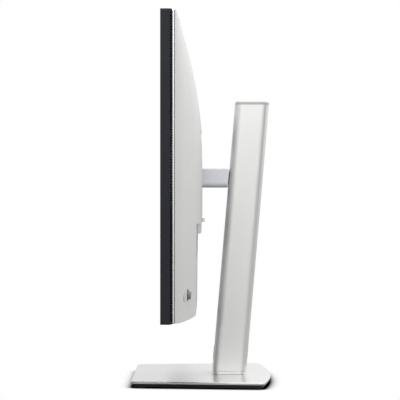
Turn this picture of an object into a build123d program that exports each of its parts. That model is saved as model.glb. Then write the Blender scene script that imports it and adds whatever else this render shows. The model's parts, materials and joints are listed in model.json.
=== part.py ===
from build123d import *
import os
from math import cos, sin, tan, radians

os.makedirs("parts", exist_ok=True)

# A desktop monitor on a height-adjustable stand, in millimetres.
# +X is the viewer's right, +Y points backwards from the screen, +Z is up.
# The origin is on the desk, under the middle of the base.

# ---------------------------------------------------------------- driving dimensions

# Base and swivel
BASE_LENGTH = 175.7
BASE_FRONT_HALF = 115.0
BASE_REAR_HALF = 134.0
BASE_BOW = 11.8
BASE_TOP = 8.4
BASE_PLATE = 2.8
SWIVEL_Y = 35.0
FOOT_Z = 12.7
SPINDLE_R = 9.0

# Column: a leaning aluminium tube
COLUMN_LEAN = 4.9
COLUMN_W = 60.0
COLUMN_D = 43.0
COLUMN_CORNER = 9.0
COLUMN_WALL = 2.5
COLUMN_TOP = 357.7
CAP_T = 4.0
SLOT_HALF = 16.5
CABLE_HOLE_Z = 35.0

# Head
HEAD_W = 611.4
HEAD_H = 356.0
HEAD_Z = 269.3
HEAD_FRONT = -46.4
FRAME_D = 14.0
FRAME_WALL = 1.6
TRIM_D = 2.4
TRIM_INSET = 0.9
COVER_INSET = 1.2
COVER_WALL = 2.2
DOME_D = 30.2
DOME_TOP_D = 3.9
DOME_RIM = 0.8
PLATEAU_Z = 251.7
LEDGE_Z = 202.7
VENT_PITCH = 3.08
VENT_COUNT = 113

# Stand joint in the neck
NECK_Z = 260.0
NECK_H = 24.2
NECK_HALF = 28.0
TILT_Y = 9.0
PIN_R = 3.0
PIVOT_R = 16.0
FIT = 0.05

# Rails and carriage, in the column's own directions
RAIL_R = 3.0
RAIL_X = 18.0
RAIL_Y = -6.0
CARRIAGE_BOTTOM = 223.2
CARRIAGE_H = 36.0

# Wall-mount holes
VESA = 100.0
M4_R = 2.0

# Derived places
COVER_Y = HEAD_FRONT + FRAME_D + TRIM_D
RECESS_Y = COVER_Y + 23.7
HEAD_BOTTOM = HEAD_Z - HEAD_H / 2
HEAD_TOP = HEAD_Z + HEAD_H / 2
COVER_BOTTOM = HEAD_BOTTOM + COVER_INSET
COVER_TOP = HEAD_TOP - COVER_INSET
COVER_HALF = HEAD_W / 2 - COVER_INSET
BASE_FRONT = -BASE_LENGTH / 2
BASE_REAR = BASE_LENGTH / 2

BACK = (0, 1, 0)
UP = (0, 0, 1)
LEAN = (0, sin(radians(COLUMN_LEAN)), cos(radians(COLUMN_LEAN)))
COLUMN = Plane(origin=(0, SWIVEL_Y, FOOT_Z), x_dir=(1, 0, 0), z_dir=LEAN)


ON_FACE = (Align.CENTER, Align.CENTER, Align.MIN)


def upright(y):
    """A plane parallel to the screen at depth y: its own x is X and its own y is Z."""
    return Plane(origin=(0, y, 0), x_dir=(1, 0, 0), z_dir=(0, -1, 0))


def side(x):
    """A plane seen from the viewer's right at x: its own x is Y and its own y is Z."""
    return Plane.YZ.offset(x)


# ================================================================ base


def base_outline(inset):
    """Plan of the base: straight front, widening sides and a rear edge that bows backwards."""
    front, rear = BASE_FRONT + inset, BASE_REAR - inset
    front_half, rear_half = BASE_FRONT_HALF - inset, BASE_REAR_HALF - inset
    with BuildLine() as outline:
        Polyline(
            (-rear_half, rear - BASE_BOW),
            (-front_half, front),
            (front_half, front),
            (rear_half, rear - BASE_BOW),
        )
        ThreePointArc((rear_half, rear - BASE_BOW), (0, rear), (-rear_half, rear - BASE_BOW))
    make_face(outline.edges())
    fillet(vertices(), 5.0)


TRAY_BOTTOM = 1.3
TRAY_INSET, TRAY_TAPER = 1.6, 20.0
PLATE_BOTTOM = BASE_TOP - BASE_PLATE
WELL_W, WELL_D = 150.0, 96.0
WELL_Y = SWIVEL_Y - 8.0
WELL_DEPTH = 2.0
PLATE_CHAMFER = 0.9
SCREW_HEAD_R = 12.5

with BuildPart() as base_plate:
    with BuildSketch(Plane.XY.offset(PLATE_BOTTOM)):
        base_outline(0)
        with Locations((0, SWIVEL_Y)):
            Circle(SPINDLE_R, mode=Mode.SUBTRACT)
    extrude(amount=BASE_PLATE)
    chamfer(base_plate.faces().sort_by(Axis.Z)[-1].outer_wire().edges(), PLATE_CHAMFER)
base_plate.part.label = "base_plate"
export_step(base_plate.part, "parts/base_plate.step")

with BuildPart() as base_tray:
    with BuildSketch(Plane.XY.offset(PLATE_BOTTOM)):
        base_outline(TRAY_INSET)
    extrude(amount=-(PLATE_BOTTOM - TRAY_BOTTOM), taper=TRAY_TAPER)
    with BuildSketch(Plane.XY.offset(PLATE_BOTTOM)):
        with Locations((0, WELL_Y)):
            RectangleRounded(WELL_W, WELL_D, 10)
    extrude(amount=-WELL_DEPTH, mode=Mode.SUBTRACT)
    with Locations((0, SWIVEL_Y, 0)):
        Cylinder(SCREW_HEAD_R + 1, 20, mode=Mode.SUBTRACT)
base_tray.part.label = "base_tray"
export_step(base_tray.part, "parts/base_tray.step")

FLANGE_R, FLANGE_T = 24.0, 1.6

with BuildPart() as base_weight:
    with BuildSketch(Plane.XY.offset(PLATE_BOTTOM - WELL_DEPTH)):
        with Locations((0, WELL_Y)):
            RectangleRounded(WELL_W - 1, WELL_D - 1, 9.5)
        with Locations((0, SWIVEL_Y)):
            Circle(FLANGE_R + 0.5, mode=Mode.SUBTRACT)
    extrude(amount=WELL_DEPTH - 0.1)
base_weight.part.label = "base_weight"
export_step(base_weight.part, "parts/base_weight.step")

FOOT_PAD_LENGTH, FOOT_PAD_WIDTH = 34.0, 11.0
FOOT_PADS = [
    (-96, BASE_FRONT + 13),
    (96, BASE_FRONT + 13),
    (-108, BASE_REAR - 26),
    (108, BASE_REAR - 26),
    (0, BASE_FRONT + 13),
    (0, BASE_REAR - 13),
]

with BuildPart() as rubber_feet:
    with BuildSketch(Plane.XY):
        with Locations(*FOOT_PADS):
            SlotOverall(FOOT_PAD_LENGTH, FOOT_PAD_WIDTH)
    extrude(amount=TRAY_BOTTOM)
rubber_feet.part.label = "rubber_feet"
export_step(rubber_feet.part, "parts/rubber_feet.step")

SPINDLE_TOP = FOOT_Z + 13.0
SCREW_R = 3.0
CLIP_T = 1.6
GROOVE_Z = SPINDLE_TOP - 1 - CLIP_T
HEAD_SLOT_WIDTH, HEAD_SLOT_DEPTH = 1.6, 0.7

with BuildPart() as swivel_spindle:
    with BuildSketch(Plane.XY.offset(PLATE_BOTTOM - FLANGE_T)):
        with Locations((0, SWIVEL_Y)):
            Circle(FLANGE_R)
    extrude(amount=FLANGE_T)
    with BuildSketch(Plane.XY.offset(PLATE_BOTTOM)):
        with Locations((0, SWIVEL_Y)):
            Circle(SPINDLE_R)
    extrude(amount=SPINDLE_TOP - PLATE_BOTTOM)
    with BuildSketch(Plane.XY.offset(GROOVE_Z)):
        with Locations((0, SWIVEL_Y)):
            Circle(SPINDLE_R + 1)
            Circle(SPINDLE_R - 0.9, mode=Mode.SUBTRACT)
    extrude(amount=CLIP_T, mode=Mode.SUBTRACT)
    with Locations((0, SWIVEL_Y, 0)):
        Cylinder(SCREW_R + 0.1, 80, mode=Mode.SUBTRACT)
swivel_spindle.part.label = "swivel_spindle"
export_step(swivel_spindle.part, "parts/swivel_spindle.step")

with BuildPart() as spindle_clip:
    with BuildSketch(Plane.XY.offset(GROOVE_Z + FIT)):
        with Locations((0, SWIVEL_Y)):
            Circle(SPINDLE_R + 3)
            Circle(SPINDLE_R - 0.8, mode=Mode.SUBTRACT)
        with Locations((0, SWIVEL_Y + SPINDLE_R)):
            Rectangle(8, 12, mode=Mode.SUBTRACT)
    extrude(amount=CLIP_T - 0.1)
spindle_clip.part.label = "spindle_clip"
export_step(spindle_clip.part, "parts/spindle_clip.step")

with BuildPart() as base_screw:
    with BuildSketch(Plane.XY.offset(TRAY_BOTTOM + 0.2)):
        with Locations((0, SWIVEL_Y)):
            Circle(SCREW_HEAD_R)
    extrude(amount=PLATE_BOTTOM - FLANGE_T - TRAY_BOTTOM - 0.3)
    with BuildSketch(Plane.XY.offset(TRAY_BOTTOM + 0.2)):
        with Locations((0, SWIVEL_Y)):
            Circle(SCREW_R)
    extrude(amount=SPINDLE_TOP - TRAY_BOTTOM - 0.2)
    with BuildSketch(Plane.XY.offset(TRAY_BOTTOM + 0.2)):
        with Locations((0, SWIVEL_Y)):
            Rectangle(1.3 * SCREW_HEAD_R, HEAD_SLOT_WIDTH)
    extrude(amount=HEAD_SLOT_DEPTH, mode=Mode.SUBTRACT)
base_screw.part.label = "base_screw"
export_step(base_screw.part, "parts/base_screw.step")

WASHER_R = 18.5
with BuildPart() as swivel_washer:
    with BuildSketch(Plane.XY.offset(BASE_TOP)):
        with Locations((0, SWIVEL_Y)):
            Circle(WASHER_R)
            Circle(SPINDLE_R + FIT, mode=Mode.SUBTRACT)
    extrude(amount=FOOT_Z - BASE_TOP - 0.6)
swivel_washer.part.label = "swivel_washer"
export_step(swivel_washer.part, "parts/swivel_washer.step")

# ================================================================ column

COLUMN_LENGTH = COLUMN_TOP - FOOT_Z
INNER_W = COLUMN_W - 2 * COLUMN_WALL
INNER_D = COLUMN_D - 2 * COLUMN_WALL
INNER_CORNER = COLUMN_CORNER - COLUMN_WALL
SHELL_TOP = COLUMN_TOP - CAP_T
SLOT_BOTTOM = 172.0
FOOT_BLOCK_T = 10.0
RING_CLEARANCE, GROOVE_H = 0.3, 0.5
CABLE_HOLE_W, CABLE_HOLE_H = 25.0, 13.0
GROMMET_WALL = 2.0
CAP_ROUNDING = 1.6
SKIRT_H, SKIRT_T = 3.0, 2.2
STROKE_DOWN = 72.0
STOP_H, STOP_WALL = 6.0, 2.2


def trim_level(bottom, top):
    """Cuts the leaning piece off level at the two heights."""
    split(bisect_by=Plane.XY.offset(bottom), keep=Keep.TOP)
    split(bisect_by=Plane.XY.offset(top), keep=Keep.BOTTOM)


def column_centre(z):
    """Depth of the column's middle line at height z."""
    return SWIVEL_Y + (z - FOOT_Z) * tan(radians(COLUMN_LEAN))


with BuildPart() as column_shell:
    with BuildSketch(COLUMN.offset(-10)):
        RectangleRounded(COLUMN_W, COLUMN_D, COLUMN_CORNER)
        RectangleRounded(INNER_W, INNER_D, INNER_CORNER, mode=Mode.SUBTRACT)
    extrude(amount=COLUMN_LENGTH + 20)
    trim_level(FOOT_Z, SHELL_TOP)
    with BuildSketch(upright(column_centre(SLOT_BOTTOM) - COLUMN_D)):
        with Locations((0, (SLOT_BOTTOM + COLUMN_TOP + 20) / 2)):
            Rectangle(2 * SLOT_HALF, COLUMN_TOP + 20 - SLOT_BOTTOM)
    extrude(amount=COLUMN_D, dir=BACK, mode=Mode.SUBTRACT)
    with BuildSketch(upright(0)):
        with Locations((0, CABLE_HOLE_Z)):
            SlotOverall(CABLE_HOLE_W + 2 * GROMMET_WALL, CABLE_HOLE_H + 2 * GROMMET_WALL)
    extrude(amount=100, dir=BACK, mode=Mode.SUBTRACT)
column_shell.part.label = "column_shell"
export_step(column_shell.part, "parts/column_shell.step")

with BuildPart() as column_cap:
    with BuildSketch(COLUMN.offset(COLUMN_LENGTH - 30)):
        RectangleRounded(COLUMN_W, COLUMN_D, COLUMN_CORNER)
    extrude(amount=50)
    trim_level(SHELL_TOP, COLUMN_TOP)
    fillet(column_cap.faces().sort_by(Axis.Z)[-1].edges(), CAP_ROUNDING)
    with BuildSketch(COLUMN.offset(COLUMN_LENGTH - 30)):
        RectangleRounded(INNER_W - 0.4, INNER_D - 0.4, INNER_CORNER - 0.2)
        RectangleRounded(
            INNER_W - 2 * SKIRT_T,
            INNER_D - 2 * SKIRT_T,
            INNER_CORNER - SKIRT_T,
            mode=Mode.SUBTRACT,
        )
        with Locations((0, -INNER_D / 2)):
            Rectangle(2 * SLOT_HALF + 6, 14, mode=Mode.SUBTRACT)
    extrude(amount=50)
    trim_level(SHELL_TOP - SKIRT_H, COLUMN_TOP)
column_cap.part.label = "column_cap"
export_step(column_cap.part, "parts/column_cap.step")

with BuildPart() as foot_block:
    with BuildSketch(COLUMN.offset(-10)):
        RectangleRounded(INNER_W - 0.2, INNER_D - 0.2, INNER_CORNER - 0.1)
    extrude(amount=40)
    trim_level(FOOT_Z, FOOT_Z + FOOT_BLOCK_T)
    with Locations((0, SWIVEL_Y, FOOT_Z)):
        Cylinder(SPINDLE_R + FIT, 60, mode=Mode.SUBTRACT)
    with BuildSketch(COLUMN):
        with Locations((-RAIL_X, RAIL_Y), (RAIL_X, RAIL_Y)):
            Circle(RAIL_R)
    extrude(amount=40, mode=Mode.SUBTRACT)
foot_block.part.label = "foot_block"
export_step(foot_block.part, "parts/foot_block.step")

# Ring under the column that hides the swivel, below a thin shadow groove
with BuildPart() as foot_ring:
    with BuildSketch(Plane.XY.offset(BASE_TOP + RING_CLEARANCE)):
        with Locations((0, SWIVEL_Y)):
            RectangleRounded(COLUMN_W - 1.2, COLUMN_D - 1.2, COLUMN_CORNER - 0.6)
            Circle(WASHER_R + 0.5, mode=Mode.SUBTRACT)
    extrude(amount=FOOT_Z - GROOVE_H - BASE_TOP - RING_CLEARANCE)
    with BuildSketch(Plane.XY.offset(FOOT_Z - GROOVE_H)):
        with Locations((0, SWIVEL_Y)):
            RectangleRounded(COLUMN_W - 5, COLUMN_D - 5, COLUMN_CORNER - 2.5)
            Circle(WASHER_R - 2, mode=Mode.SUBTRACT)
    extrude(amount=GROOVE_H)
foot_ring.part.label = "foot_ring"
export_step(foot_ring.part, "parts/foot_ring.step")

with BuildPart() as slide_rails:
    with BuildSketch(COLUMN.offset(3)):
        with Locations((-RAIL_X, RAIL_Y), (RAIL_X, RAIL_Y)):
            Circle(RAIL_R)
    extrude(amount=COLUMN_LENGTH - 3 - CAP_T - 4)
slide_rails.part.label = "slide_rails"
export_step(slide_rails.part, "parts/slide_rails.step")

RAIL_HEAD_H = COLUMN_LENGTH - CAP_T - 9
BRIDGE_D, BRIDGE_T = 26.0, 2.5
with BuildPart() as rail_bridge:
    with BuildSketch(COLUMN.offset(RAIL_HEAD_H)):
        with Locations((0, RAIL_Y + BRIDGE_D / 2 - RAIL_R - 2)):
            RectangleRounded(INNER_W - 0.6, BRIDGE_D, 3)
        with Locations((-RAIL_X, RAIL_Y), (RAIL_X, RAIL_Y)):
            Circle(RAIL_R, mode=Mode.SUBTRACT)
    extrude(amount=BRIDGE_T)
rail_bridge.part.label = "rail_bridge"
export_step(rail_bridge.part, "parts/rail_bridge.step")

with BuildPart() as rail_stops:
    with BuildSketch(COLUMN.offset(CARRIAGE_BOTTOM - STROKE_DOWN - STOP_H - 2)):
        with Locations((-RAIL_X, RAIL_Y), (RAIL_X, RAIL_Y)):
            Circle(RAIL_R + STOP_WALL)
            Circle(RAIL_R, mode=Mode.SUBTRACT)
    extrude(amount=STOP_H)
rail_stops.part.label = "rail_stops"
export_step(rail_stops.part, "parts/rail_stops.step")

with BuildPart() as cable_grommet:
    with BuildSketch(upright(0)):
        with Locations((0, CABLE_HOLE_Z)):
            SlotOverall(CABLE_HOLE_W + 2 * GROMMET_WALL, CABLE_HOLE_H + 2 * GROMMET_WALL)
    extrude(amount=100, dir=BACK)
    with BuildSketch(COLUMN.offset(-10)):
        Rectangle(COLUMN_W, COLUMN_D + 0.8)
    extrude(amount=80, mode=Mode.INTERSECT)
    with BuildSketch(upright(0)):
        with Locations((0, CABLE_HOLE_Z)):
            SlotOverall(CABLE_HOLE_W, CABLE_HOLE_H)
    extrude(amount=100, dir=BACK, mode=Mode.SUBTRACT)
cable_grommet.part.label = "cable_grommet"
export_step(cable_grommet.part, "parts/cable_grommet.step")

# Constant-force lift spring: a coil on a spool near the top, and its strip down to the carriage
COIL_R = 8.0
COIL_Y = 9.6
COIL_H = COLUMN_LENGTH - 26.0
COIL_HALF = 12.0
SPOOL_R, AXLE_R = 5.0, 2.0
STRIP_T = 0.4
COIL_CENTRE = COLUMN * Location((0, COIL_Y, COIL_H))
COIL_SIDE = Plane(origin=COIL_CENTRE.position, x_dir=BACK, z_dir=(1, 0, 0))

with BuildPart() as lift_spring_coil:
    with BuildSketch(COIL_SIDE):
        Circle(COIL_R)
        Circle(SPOOL_R, mode=Mode.SUBTRACT)
    extrude(amount=COIL_HALF, both=True)
lift_spring_coil.part.label = "lift_spring_coil"
export_step(lift_spring_coil.part, "parts/lift_spring_coil.step")

with BuildPart() as spring_spool:
    with BuildSketch(COIL_SIDE):
        Circle(SPOOL_R)
    extrude(amount=COIL_HALF + 1, both=True)
    with BuildSketch(COIL_SIDE):
        Circle(AXLE_R)
    extrude(amount=INNER_W / 2 - 0.1, both=True)
spring_spool.part.label = "spring_spool"
export_step(spring_spool.part, "parts/spring_spool.step")

STRIP_BOTTOM = CARRIAGE_BOTTOM + 6
STRIP_Y = COIL_Y - COIL_R - STRIP_T / 2 - 0.05
with BuildPart() as lift_spring_strip:
    with BuildSketch(COLUMN.offset(STRIP_BOTTOM)):
        with Locations((0, STRIP_Y)):
            Rectangle(2 * COIL_HALF - 2, STRIP_T)
    extrude(amount=COIL_H - STRIP_BOTTOM)
lift_spring_strip.part.label = "lift_spring_strip"
export_step(lift_spring_strip.part, "parts/lift_spring_strip.step")

# ================================================================ carriage and neck

CARRIAGE_FRONT = -INNER_D / 2 + 0.6
CARRIAGE_REAR = STRIP_Y - STRIP_T / 2 - 0.05
BUSH_R = 5.2
ARM_HALF = 13.5
ARM_H = 16.8
EAR_IN, EAR_OUT = 16.0, 20.0
EAR_R = 7.5
ARM_REAR_Y = 42.0
YOKE_Y = 20.0
SLOT_ENTRY_Y = 30.0
NECK_TOP = NECK_Z + NECK_H / 2
NECK_BOTTOM = NECK_Z - NECK_H / 2
NECK_FRONT = -0.2
NECK_WALL = 2.0
COLUMN_GAP = 1.0
NECK_CHAMFER, NECK_ROUNDING = 1.0, 6.0
COVER_SPLIT_Z = NECK_Z - 7.8

with BuildPart() as lift_carriage:
    with BuildSketch(COLUMN.offset(CARRIAGE_BOTTOM)):
        with Locations((0, (CARRIAGE_FRONT + CARRIAGE_REAR) / 2)):
            RectangleRounded(INNER_W - 6, CARRIAGE_REAR - CARRIAGE_FRONT, 3)
        with Locations((-RAIL_X, RAIL_Y), (RAIL_X, RAIL_Y)):
            Circle(BUSH_R, mode=Mode.SUBTRACT)
    extrude(amount=CARRIAGE_H)
    with BuildSketch(upright(YOKE_Y)):
        with Locations((0, NECK_Z)):
            Rectangle(2 * ARM_HALF, ARM_H + 0.2)
    extrude(amount=ARM_REAR_Y - YOKE_Y, dir=BACK, mode=Mode.SUBTRACT)
lift_carriage.part.label = "lift_carriage"
export_step(lift_carriage.part, "parts/lift_carriage.step")

with BuildPart() as carriage_bushes:
    with BuildSketch(COLUMN.offset(CARRIAGE_BOTTOM)):
        with Locations((-RAIL_X, RAIL_Y), (RAIL_X, RAIL_Y)):
            Circle(BUSH_R)
            Circle(RAIL_R + FIT, mode=Mode.SUBTRACT)
    extrude(amount=CARRIAGE_H)
carriage_bushes.part.label = "carriage_bushes"
export_step(carriage_bushes.part, "parts/carriage_bushes.step")

with BuildPart() as neck_arm:
    with BuildSketch(side(-ARM_HALF)):
        with Locations(((YOKE_Y + ARM_REAR_Y) / 2, NECK_Z)):
            Rectangle(ARM_REAR_Y - YOKE_Y, ARM_H)
    extrude(amount=2 * ARM_HALF)
    with BuildSketch(side(-EAR_OUT)):
        with Locations((TILT_Y, NECK_Z)):
            Circle(EAR_R)
        with Locations(((TILT_Y + SLOT_ENTRY_Y) / 2, NECK_Z)):
            Rectangle(SLOT_ENTRY_Y - TILT_Y, 2 * EAR_R)
    extrude(amount=2 * EAR_OUT)
    with BuildSketch(side(-EAR_IN)):
        with Locations((YOKE_Y - 20, NECK_Z)):
            Rectangle(40, 40)
    extrude(amount=2 * EAR_IN, mode=Mode.SUBTRACT)
    with BuildSketch(side(-EAR_OUT)):
        with Locations((TILT_Y, NECK_Z)):
            Circle(PIN_R)
    extrude(amount=2 * EAR_OUT, mode=Mode.SUBTRACT)
neck_arm.part.label = "neck_arm"
export_step(neck_arm.part, "parts/neck_arm.step")


def neck_profile():
    """Side view of the neck cover: square to the head, and following the column's lean behind."""
    gap = COLUMN_D / 2 / cos(radians(COLUMN_LEAN)) + COLUMN_GAP
    with BuildLine() as outline:
        Polyline(
            (NECK_FRONT, NECK_BOTTOM),
            (column_centre(NECK_BOTTOM) - gap, NECK_BOTTOM),
            (column_centre(NECK_TOP) - gap, NECK_TOP),
            (NECK_FRONT, NECK_TOP),
            close=True,
        )
    make_face(outline.edges())


def neck_shell():
    """The whole neck cover: a rectangular sleeve, open at the head and slotted at the column."""
    with BuildSketch(side(-NECK_HALF)) as profile:
        neck_profile()
    extrude(profile.sketch, amount=2 * NECK_HALF)
    chamfer(edges().filter_by(Axis.Y).group_by(Axis.Z)[-1], NECK_CHAMFER)
    fillet(edges().filter_by(Axis.Y).group_by(Axis.Z)[0], NECK_ROUNDING)
    with BuildSketch(upright(NECK_FRONT - 2)) as inside:
        with Locations((0, NECK_Z)):
            Rectangle(2 * (NECK_HALF - NECK_WALL), NECK_H - 2 * NECK_WALL)
        fillet(inside.vertices().group_by(Axis.Y)[0], NECK_ROUNDING - NECK_WALL)
    extrude(inside.sketch, amount=SLOT_ENTRY_Y + 3 - NECK_FRONT, dir=BACK, mode=Mode.SUBTRACT)
    with BuildSketch(upright(NECK_FRONT)) as arm_hole:
        with Locations((0, NECK_Z)):
            Rectangle(2 * ARM_HALF + 0.4, ARM_H + 0.4)
    extrude(arm_hole.sketch, amount=60, dir=BACK, mode=Mode.SUBTRACT)


with BuildPart() as neck_cover_top:
    neck_shell()
    split(bisect_by=Plane.XY.offset(COVER_SPLIT_Z), keep=Keep.TOP)
neck_cover_top.part.label = "neck_cover_top"
export_step(neck_cover_top.part, "parts/neck_cover_top.step")

with BuildPart() as neck_cover_bottom:
    neck_shell()
    split(bisect_by=Plane.XY.offset(COVER_SPLIT_Z), keep=Keep.BOTTOM)
neck_cover_bottom.part.label = "neck_cover_bottom"
export_step(neck_cover_bottom.part, "parts/neck_cover_bottom.step")

# ================================================================ tilt hinge

KNUCKLE_IN, KNUCKLE_OUT = 9.0, 14.4
KNUCKLE_R, WEB_H = 7.0, 9.6
PIN_HALF = 25.0
PIN_HEAD_R, PIN_HEAD_T = 5.2, 2.4
WASHER_RIM_R = 6.2
NUT_R, NUT_T = 5.4, 3.0
RING_T, RING_OVERHANG = 1.6, 2.6
RING_SCREW_CIRCLE, RING_SCREW_R = 9.0, 1.6
RING_SCREW_HEAD_R, RING_SCREW_HEAD_T = 2.8, 1.2
PLATE_REAR = RECESS_Y + 2.0
SHAFT_FRONT = RECESS_Y - 0.3

with BuildPart() as tilt_pin:
    with BuildSketch(side(-PIN_HALF)):
        with Locations((TILT_Y, NECK_Z)):
            Circle(PIN_R)
    extrude(amount=2 * PIN_HALF)
    with BuildSketch(side(-PIN_HALF)):
        with Locations((TILT_Y, NECK_Z)):
            Circle(PIN_HEAD_R)
    extrude(amount=PIN_HEAD_T)
tilt_pin.part.label = "tilt_pin"
export_step(tilt_pin.part, "parts/tilt_pin.step")

with BuildPart() as tilt_washers:
    for start, thickness in ((KNUCKLE_OUT + 0.1, 1.4), (EAR_OUT + 0.05, 1.2)):
        for face in (start, -start - thickness):
            with BuildSketch(side(face)):
                with Locations((TILT_Y, NECK_Z)):
                    Circle(WASHER_RIM_R)
                    Circle(PIN_R, mode=Mode.SUBTRACT)
            extrude(amount=thickness)
tilt_washers.part.label = "tilt_washers"
export_step(tilt_washers.part, "parts/tilt_washers.step")

with BuildPart() as tilt_nut:
    with BuildSketch(side(EAR_OUT + 1.3)):
        with Locations((TILT_Y, NECK_Z)):
            RegularPolygon(NUT_R, 6)
            Circle(PIN_R, mode=Mode.SUBTRACT)
    extrude(amount=NUT_T)
tilt_nut.part.label = "tilt_nut"
export_step(tilt_nut.part, "parts/tilt_nut.step")

with BuildPart() as tilt_bracket:
    with BuildSketch(upright(SHAFT_FRONT)):
        with Locations((0, NECK_Z)):
            Circle(PIVOT_R)
    extrude(amount=PLATE_REAR - SHAFT_FRONT, dir=BACK)
    for inner in (KNUCKLE_IN, -KNUCKLE_OUT):
        with BuildSketch(side(inner)):
            with Locations((TILT_Y, NECK_Z)):
                Circle(KNUCKLE_R)
            with Locations(((TILT_Y + PLATE_REAR) / 2, NECK_Z)):
                Rectangle(TILT_Y - PLATE_REAR + 0.2, WEB_H)
        extrude(amount=KNUCKLE_OUT - KNUCKLE_IN)
    with BuildSketch(side(-KNUCKLE_OUT - 1)):
        with Locations((TILT_Y, NECK_Z)):
            Circle(PIN_R + FIT)
    extrude(amount=2 * KNUCKLE_OUT + 2, mode=Mode.SUBTRACT)
tilt_bracket.part.label = "tilt_bracket"
export_step(tilt_bracket.part, "parts/tilt_bracket.step")

with BuildPart() as pivot_ring:
    with BuildSketch(upright(SHAFT_FRONT - RING_T)):
        with Locations((0, NECK_Z)):
            Circle(PIVOT_R + RING_OVERHANG)
    extrude(amount=RING_T, dir=BACK)
    with Locations(Location((0, SHAFT_FRONT, NECK_Z), (90, 0, 0))):
        with PolarLocations(RING_SCREW_CIRCLE, 3):
            Hole(RING_SCREW_R, 20)
pivot_ring.part.label = "pivot_ring"
export_step(pivot_ring.part, "parts/pivot_ring.step")

with BuildPart() as pivot_ring_screws:
    with Locations(Location((0, SHAFT_FRONT - RING_T, NECK_Z), (90, 0, 0))):
        with PolarLocations(RING_SCREW_CIRCLE, 3):
            Cylinder(RING_SCREW_HEAD_R, RING_SCREW_HEAD_T, align=ON_FACE)
pivot_ring_screws.part.label = "pivot_ring_screws"
export_step(pivot_ring_screws.part, "parts/pivot_ring_screws.step")

# ================================================================ head: quick-release plate

PLATE_SIDE = 86.0
TONGUE_HALF = 16.0
TONGUE_BOTTOM = 203.7
TONGUE_TOP = NECK_Z - 40.0
LIP_REAR = 3.7
LIP_H, LIP_SLOT_D, LIP_SLOT_H = 4.0, 2.5, 1.6

with BuildPart() as mount_plate:
    with BuildSketch(upright(RECESS_Y)):
        with Locations((0, NECK_Z)):
            RectangleRounded(PLATE_SIDE, PLATE_SIDE, 8)
            Circle(PIVOT_R + FIT, mode=Mode.SUBTRACT)
        with Locations((0, (TONGUE_BOTTOM + TONGUE_TOP) / 2)):
            Rectangle(2 * TONGUE_HALF, TONGUE_TOP - TONGUE_BOTTOM)
    extrude(amount=PLATE_REAR - RECESS_Y, dir=BACK)
    with BuildSketch(upright(PLATE_REAR)):
        with Locations((0, TONGUE_BOTTOM + LIP_H / 2)):
            Rectangle(2 * TONGUE_HALF, LIP_H)
    extrude(amount=LIP_REAR - PLATE_REAR, dir=BACK)
    with BuildSketch(side(-TONGUE_HALF)):
        with Locations((LIP_REAR, TONGUE_BOTTOM + LIP_H / 2)):
            Rectangle(2 * LIP_SLOT_D, LIP_SLOT_H)
    extrude(amount=2 * TONGUE_HALF, mode=Mode.SUBTRACT)
mount_plate.part.label = "mount_plate"
export_step(mount_plate.part, "parts/mount_plate.step")

# ================================================================ head: front, frame and trim

GLASS_W, GLASS_H = HEAD_W - 2 * FRAME_WALL - 0.4, HEAD_H - 2 * FRAME_WALL - 0.4
GLASS_FRONT = HEAD_FRONT + 0.3
GLASS_T = 2.0
CHIN_H = 9.0


def ring(outer_w, outer_h, inner_w, inner_h, corner, centre_z=HEAD_Z):
    """A rectangular ring seen from the front, with slightly rounded outer corners."""
    with Locations((0, centre_z)):
        RectangleRounded(outer_w, outer_h, corner)
        Rectangle(inner_w, inner_h, mode=Mode.SUBTRACT)


def trim_outline(inset):
    """The trim's ring: always open in the middle, and its outer edge set in from the head's."""
    hole_w, hole_h = HEAD_W - 2 * TRIM_BAND, HEAD_H - 2 * TRIM_BAND
    ring(HEAD_W - 2 * inset, HEAD_H - 2 * inset, hole_w, hole_h, TRIM_CORNER)


FRAME_REAR = HEAD_FRONT + FRAME_D
VENT_CENTRE = FRAME_REAR - 1.7
VENT_LENGTH, VENT_WIDTH, VENT_SLANT = 3.5, 1.6, 28.0
TOP_VENT_COUNT = 186
CLIP_LENGTH, CLIP_HEIGHT = 3.2, 1.0
FRAME_CORNER = 2.0

with BuildPart() as screen_frame:
    with BuildSketch(upright(HEAD_FRONT)):
        ring(HEAD_W, HEAD_H, HEAD_W - 2 * FRAME_WALL, HEAD_H - 2 * FRAME_WALL, FRAME_CORNER)
    extrude(amount=FRAME_D, dir=BACK)
    with BuildSketch(side(-HEAD_W / 2)):
        with Locations((VENT_CENTRE, HEAD_Z)):
            with GridLocations(0, VENT_PITCH, 1, VENT_COUNT):
                SlotOverall(VENT_LENGTH, VENT_WIDTH, rotation=-VENT_SLANT)
    extrude(amount=HEAD_W, mode=Mode.SUBTRACT)
    with BuildSketch(Plane.XY.offset(HEAD_TOP - 3)):
        with Locations((0, VENT_CENTRE)):
            with GridLocations(VENT_PITCH, 0, TOP_VENT_COUNT, 1):
                SlotOverall(VENT_LENGTH, VENT_WIDTH, rotation=90 - VENT_SLANT)
    extrude(amount=6, mode=Mode.SUBTRACT)
    with BuildSketch(side(-HEAD_W / 2)):
        for edge_z, inward in ((HEAD_TOP, -1), (HEAD_BOTTOM, 1)):
            with BuildLine():
                Polyline(
                    (FRAME_REAR - CLIP_LENGTH, edge_z),
                    (FRAME_REAR, edge_z),
                    (FRAME_REAR, edge_z + inward * CLIP_HEIGHT),
                    close=True,
                )
            make_face()
    extrude(amount=HEAD_W, mode=Mode.SUBTRACT)
screen_frame.part.label = "screen_frame"
export_step(screen_frame.part, "parts/screen_frame.step")

TRIM_BAND = 7.0
TRIM_GAP, TRIM_STEP = 0.8, 3.0
TRIM_CORNER = 1.6

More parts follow.
